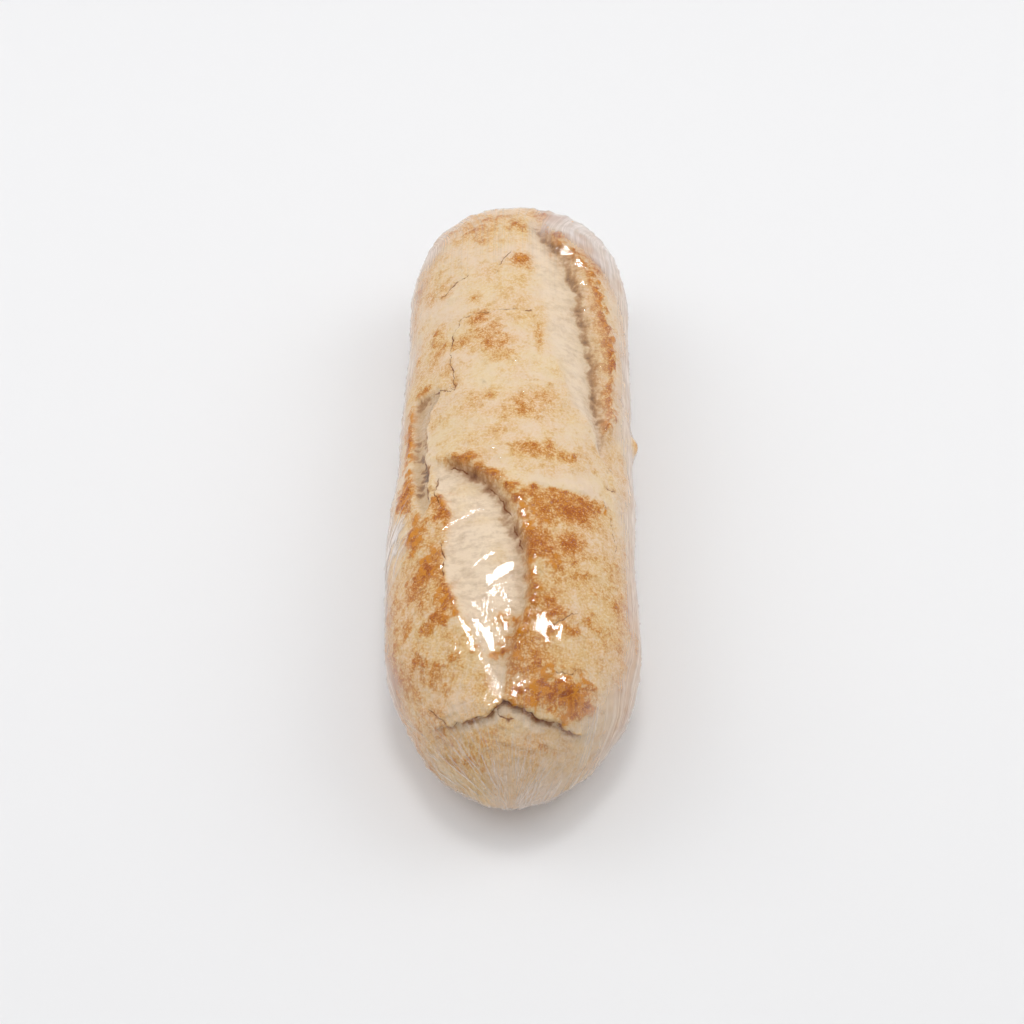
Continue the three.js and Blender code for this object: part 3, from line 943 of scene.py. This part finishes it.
# %% Tension folds
FOLDS = [  # ends of the fold, its half width and its height in mm
    ((-33, -66), (7, -51), 5.5, 0.85), ((-26, -68), (-9, -96), 3.4, 0.60), ((26, -70), (22, -92), 9.5, 2.2),
    ((-12, -64), (-6, -84), 2.6, 0.45), ((-40, -44), (-18, -36), 1.8, 0.15), ((-4, -80), (6, -94), 2.6, 0.45),
]
taut = np.zeros(len(tight))
fold_u = film_degrees * MM_PER_DEGREE
for (d0, v0), (d1, v1), width, rise in FOLDS:
    u0, u1 = d0 * MM_PER_DEGREE, d1 * MM_PER_DEGREE
    length = math.hypot(u1 - u0, v1 - v0)
    t = ((fold_u - u0) * (u1 - u0) + (film_along - v0) * (v1 - v0)) / length ** 2
    miss = np.abs((fold_u - u0) * (v1 - v0) - (film_along - v0) * (u1 - u0)) / length
    miss = np.hypot(miss, np.maximum(0, np.maximum(-t, t - 1)) * length)
    crest = np.clip(1 - miss / width, 0, 1) * np.clip(np.minimum(t, 1 - t) / 0.35, 0.1, 1)
    crest *= np.abs(film_degrees) < 90
    lift = np.maximum(lift, rise * MM * crest)
    taut = np.maximum(taut, smooth_step(crest, 0, 0.3))
weigh(film, "taut", taut)
pulled(30, "taut", "taut")
print("share of the film under a fold:", round(float((taut > 0.5).mean()), 3))

# %% Lap and tails
LAP_STEP = 0.00012  # the outer layer of the lap lies this much lower than the inner
FILM_LOWEST = 0.00006
TAIL_FOLDS = 9

tight = positions(film)
tight += film_normals * lift[:, None]
tight[:, 2] -= LAP_STEP * lap * (tight[:, 2] < 0.006)
tail = from_gather < 0
along_tail = np.clip(-from_gather / TAIL, 0, 1)
gather_at = np.array([GATHER[int(s)] for s in end])
zigzag = np.abs((across * TAIL_FOLDS + 0.3 * pleat_noise(12, 5)) % 1 * 2 - 1) * 2 - 1
tail_x = gather_at[:, 0] + (0.0012 + 0.0085 * along_tail ** 0.7) * zigzag
tail_y = gather_at[:, 1] - end * along_tail * TAIL * (0.85 + 0.15 * pleat_noise(20, 6))
tail_z = 0.00008 + 0.0004 * (across * TAIL_FOLDS % 1) + 0.0012 * (1 - along_tail) ** 4
tight[tail] = np.stack([tail_x, tail_y, tail_z], axis=1)[tail]
tight[:, 2] = np.maximum(tight[:, 2], FILM_LOWEST)
move_to(film, tight)
choose(film)
bpy.ops.object.shade_smooth()
film.vertex_groups.clear()
areas = np.array([p.area for p in film.data.polygons])
on_tail = np.array([all(tail[v] for v in p.vertices) for p in film.data.polygons])
print("film area:", round(float(areas.sum()), 4), "m2, of", round(CUT_WIDTH * CUT_LENGTH, 4), "cut;",
      round(float(areas[on_tail].sum()), 4), "in the tails")

# %% [markdown]
# ## What the film's material has to know
# How milky the film looks depends on where it is: it is clear on the crown, wrinkled on the flanks
# and at the far end, and pleated at both tips, and a fan of fine creases spreads over the left flank
# beside the top of the middle tear. These places are stored on the mesh, as the bake was on the
# crust, together with how far each point stands off the crust, since film that touches it shows
# every grain.

# %% Flanks, ends, fan and knot
store(film, "taut", taut)
standoff = np.array([crust_tree.find_nearest(p)[3] for p in tight.tolist()])
store(film, "standoff", np.clip(standoff / (1.5 * MM), 0, 1))
end_reach = np.where(end < 0, 0.037, 0.052)
store(film, "ends", np.exp(-(np.maximum(from_gather, 0) / end_reach) ** 2))
far_end, near_end = smooth_step(film_along, 62, 92), smooth_step(-film_along, 72, 108)
wobble = np.array([noise.fractal(p * 45, 0.9, 2.1, 3) for p in map(Vector, tight.tolist())])
right = smooth_step(film_degrees + 9 * wobble + 44 * far_end + 20 * near_end, 50, 76)
right *= 1 + 0.6 * far_end - 0.4 * near_end
left = smooth_step(-film_degrees + 9 * wobble + 30 * far_end, 62, 88) * (1 - near_end)
from_side_blister = np.hypot(
    (film_degrees - SIDE_BLISTER[0]) * MM_PER_DEGREE, film_along - SIDE_BLISTER[1])
store(film, "flank", right + left - 1.8 * np.exp(-(from_side_blister / 4) ** 2))
NEAR_KNOT = (-0.001, -0.111, 0.008)  # where the pleats of the nose seem to meet, from above the nose
UP_VIEW = (0.77, 0.64)  # how far Y and Z count as up in that view
ahead = (tight[:, 1] - NEAR_KNOT[1]) * UP_VIEW[0] + (tight[:, 2] - NEAR_KNOT[2]) * UP_VIEW[1]
store(film, "pleat_turn", np.arctan2(tight[:, 0] - NEAR_KNOT[0], ahead))
knot_distance = np.hypot(tight[:, 0] - NEAR_KNOT[0], ahead) / MM
store(film, "pleat_reach", knot_distance)
fan = np.exp(-((film_along + 36) / 13) ** 2) * smooth_step(-film_degrees, 52, 68)
store(film, "fan", fan * smooth_step(-film_degrees, 130, 95))
print("standoff in mm:", [round(float(v) / MM, 2) for v in np.percentile(standoff, [1, 50, 90, 99])])

# %% [markdown]
# ## What the film is made of
# Clear film hides nothing, adds a sharp reflection, and turns milky where it is creased, where it
# lies in many small wrinkles on the flanks, and where it is seen edge on. So the surface is a mix of
# three simple shaders: see-through, white and mirror-like. Refraction was left out, since a sheet
# this thin does not bend light, and without it the crust stays clean to see.

# %% Film material: lines
clear = bpy.data.materials.new("film")
tree = node_tree(clear)
sheet_uv = add_node(tree, "UVMap", uv_map="UVMap").outputs[0]
here = placed(tree)


def thin_line(wave, width):
    """1 where a wave crosses its middle value, falling to 0 within width of it."""
    away = combine(tree, "ABSOLUTE", combine(tree, "SUBTRACT", wave, 0.5))
    return remapped(tree, away, width, 0.0)


def streaks(scale_round, scale_along, width, turned=0.0):
    """Thin lines along the sheet."""
    turned_space = add_node(tree, "Mapping", {"Vector": sheet_uv, "Rotation": (0, 0, turned)}).outputs[0]
    scale = (scale_round, scale_along, 1)
    space = add_node(tree, "Mapping", {"Vector": turned_space, "Scale": scale}).outputs[0]
    return thin_line(noise_value(tree, space, 1.0, 2, 0.5), width)


thin_lines = streaks(105, 2.6, 0.05)
broad_lines = streaks(34, 2.0, 0.10)
turn_in, reach_in = attribute(tree, "pleat_turn"), attribute(tree, "pleat_reach")
pleat_turn = combine(tree, "MULTIPLY", turn_in, 13)
pleat_reach = combine(tree, "MULTIPLY", reach_in, 0.03)
pleat_space = add_node(tree, "CombineXYZ", {0: pleat_turn, 1: pleat_reach}).outputs[0]
pleat_lines = thin_line(noise_value(tree, pleat_space, 1.0, 2, 0.55), 0.035)
fan_lines = streaks(60, 14, 0.07, 0.9)
cross_lines = streaks(22, 26, 0.028)
print("lines on the film:", len(tree.nodes), "nodes so far")

# %% Film material: creases and milkiness
MILK = (0.84, 0.77, 0.73, 1)

patches = remapped(tree, noise_value(tree, here, 60, 3, 0.6), 0.36, 0.60)
ends_in, flank_in = attribute(tree, "ends"), attribute(tree, "flank")
standoff_in, fan_in = attribute(tree, "standoff"), attribute(tree, "fan")
creased = combine(tree, "MULTIPLY", combine(tree, "MINIMUM", flank_in, 1.0), 0.45)
creased = combine(tree, "MAXIMUM", combine(tree, "MULTIPLY", ends_in, 0.8), creased)
lines = combine(tree, "MAXIMUM", thin_lines, combine(tree, "MULTIPLY", broad_lines, 0.40))
shown = combine(tree, "MULTIPLY", creased, remapped(tree, patches, 0.0, 1.0, 0.35, 1.0))
crease = combine(tree, "MULTIPLY", lines, shown)
fan_creases = combine(tree, "MULTIPLY", fan_lines, combine(tree, "MULTIPLY", fan_in, 1.4))
crease = combine(tree, "MAXIMUM", crease, fan_creases)
nose_reach = remapped(tree, total(tree, (reach_in, 1.0), (turn_in, 12.0)), 34, 12)
pleats_in = combine(tree, "MULTIPLY", pleat_lines, combine(tree, "MULTIPLY", nose_reach, 0.9))
crease = combine(tree, "MAXIMUM", crease, pleats_in)
facing = add_node(tree, "LayerWeight", {"Blend": 0.5}).outputs["Facing"]
grazing = combine(tree, "POWER", facing, 4.0)
veil_here = combine(tree, "MULTIPLY", flank_in, patches)
haze = total(tree, (crease, 0.60), (grazing, 0.28), (veil_here, 0.20), (flank_in, 0.22))
haze = combine(tree, "ADD", haze, 0.0, True)
print("creases and milk:", len(tree.nodes), "nodes so far")

# %% Film material: gloss, and the three shaders
smooth_share = combine(tree, "SUBTRACT", 1.0, flank_in, True)
reflect = total(tree, (grazing, 0.40), (smooth_share, 0.018))
ripple = noise_value(tree, here, 75, 2, 0.45)
touching = remapped(tree, standoff_in, 0.35, 0.12)
pimple = combine(tree, "MULTIPLY", noise_value(tree, here, 620, 1, 0.5), touching)
pleated = combine(tree, "MULTIPLY", lines, creased)
ripples = total(tree, (ripple, 1.0), (pimple, 0.25), (cross_lines, 0.04), (pleated, 0.25))
slack = remapped(tree, attribute(tree, "taut"), 0, 1, 1, 0.17)
ripples = combine(tree, "MULTIPLY", ripples, slack)
bump = add_node(tree, "Bump", {"Height": ripples, "Strength": 0.6, "Distance": 0.0013})
see_through = add_node(tree, "BsdfTransparent")
milk = add_node(tree, "BsdfDiffuse", {"Color": MILK})
gloss = add_node(tree, "BsdfGlossy", {"Color": (1, 1, 1, 1), "Roughness": 0.07, "Normal": bump.outputs[0]})
veil = add_node(tree, "MixShader", {0: haze, 1: see_through.outputs[0], 2: milk.outputs[0]})
surface = add_node(tree, "MixShader", {0: reflect, 1: veil.outputs[0], 2: gloss.outputs[0]})
add_node(tree, "OutputMaterial", {"Surface": surface.outputs[0]})
film.data.materials.append(clear)
print("film material:", len(tree.nodes), "nodes")

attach(film, "root")
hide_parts("cling_film")

# %% [markdown]
# ## Floor and light
# The loaf lies on pale paper in a white room. The room is an even sky, with a large soft panel on
# each side, which together lay a soft shadow close round the loaf. A small lamp high behind the
# middle shapes the crust, and a bright panel in the same place is seen only in reflections: it gives
# the film its white streaks near the nose.

# %% Floor and sky
FLOOR_SIZE = 6.0  # metres, past the edges of the view
bpy.ops.object.select_all(action="DESELECT")
bpy.ops.mesh.primitive_plane_add(size=FLOOR_SIZE, location=(0, 0, 0))
floor = bpy.context.object
floor.name = "floor"
paper = bpy.data.materials.new("pale_floor")
tree = node_tree(paper)
shader = add_node(tree, "BsdfPrincipled", {"Base Color": (0.86, 0.86, 0.865, 1), "Roughness": 0.9})
shader.inputs["Specular IOR Level"].default_value = 0.1
add_node(tree, "OutputMaterial", {"Surface": shader.outputs[0]})
floor.data.materials.append(paper)

world = bpy.data.worlds.new("studio")
bpy.context.scene.world = world
world.use_nodes = True
sky = world.node_tree.nodes["Background"]
sky.inputs["Color"].default_value = (0.985, 0.985, 0.995, 1)
sky.inputs["Strength"].default_value = 0.66
print("floor and sky placed")


# %% Lights
def soft_light(name, place, aim, size, power):
    """A square area light at place, facing aim."""
    data = bpy.data.lights.new(name, "AREA")
    data.shape = "SQUARE"
    data.size = size
    data.energy = power
    light = bpy.data.objects.new(name, data)
    light.location = place
    light.rotation_euler = (Vector(aim) - Vector(place)).to_track_quat("-Z", "Y").to_euler()
    bpy.context.scene.collection.objects.link(light)
    return light


NEAR_MIDDLE = (0, -0.03, 0)
soft_light("lamp", (0.02, 0.17, 1.15), NEAR_MIDDLE, 0.27, 2.2)
for side in (-1, 1):
    panel = soft_light("panel", (side * 0.9, 0.3, 0.9), (0, 0, 0), 0.8, 3.1)
    panel.visible_glossy = False  # the panels shade the floor, and leave no streaks on the film
glint = soft_light("glint", (0.02, 0.16, 1.14), NEAR_MIDDLE, 0.54, 33)
glint.data.shape = "RECTANGLE"
glint.data.size_y = 0.34
glint.visible_diffuse = False  # it is seen only in the film
bpy.context.scene.view_settings.view_transform = "Standard"
print("lights placed")
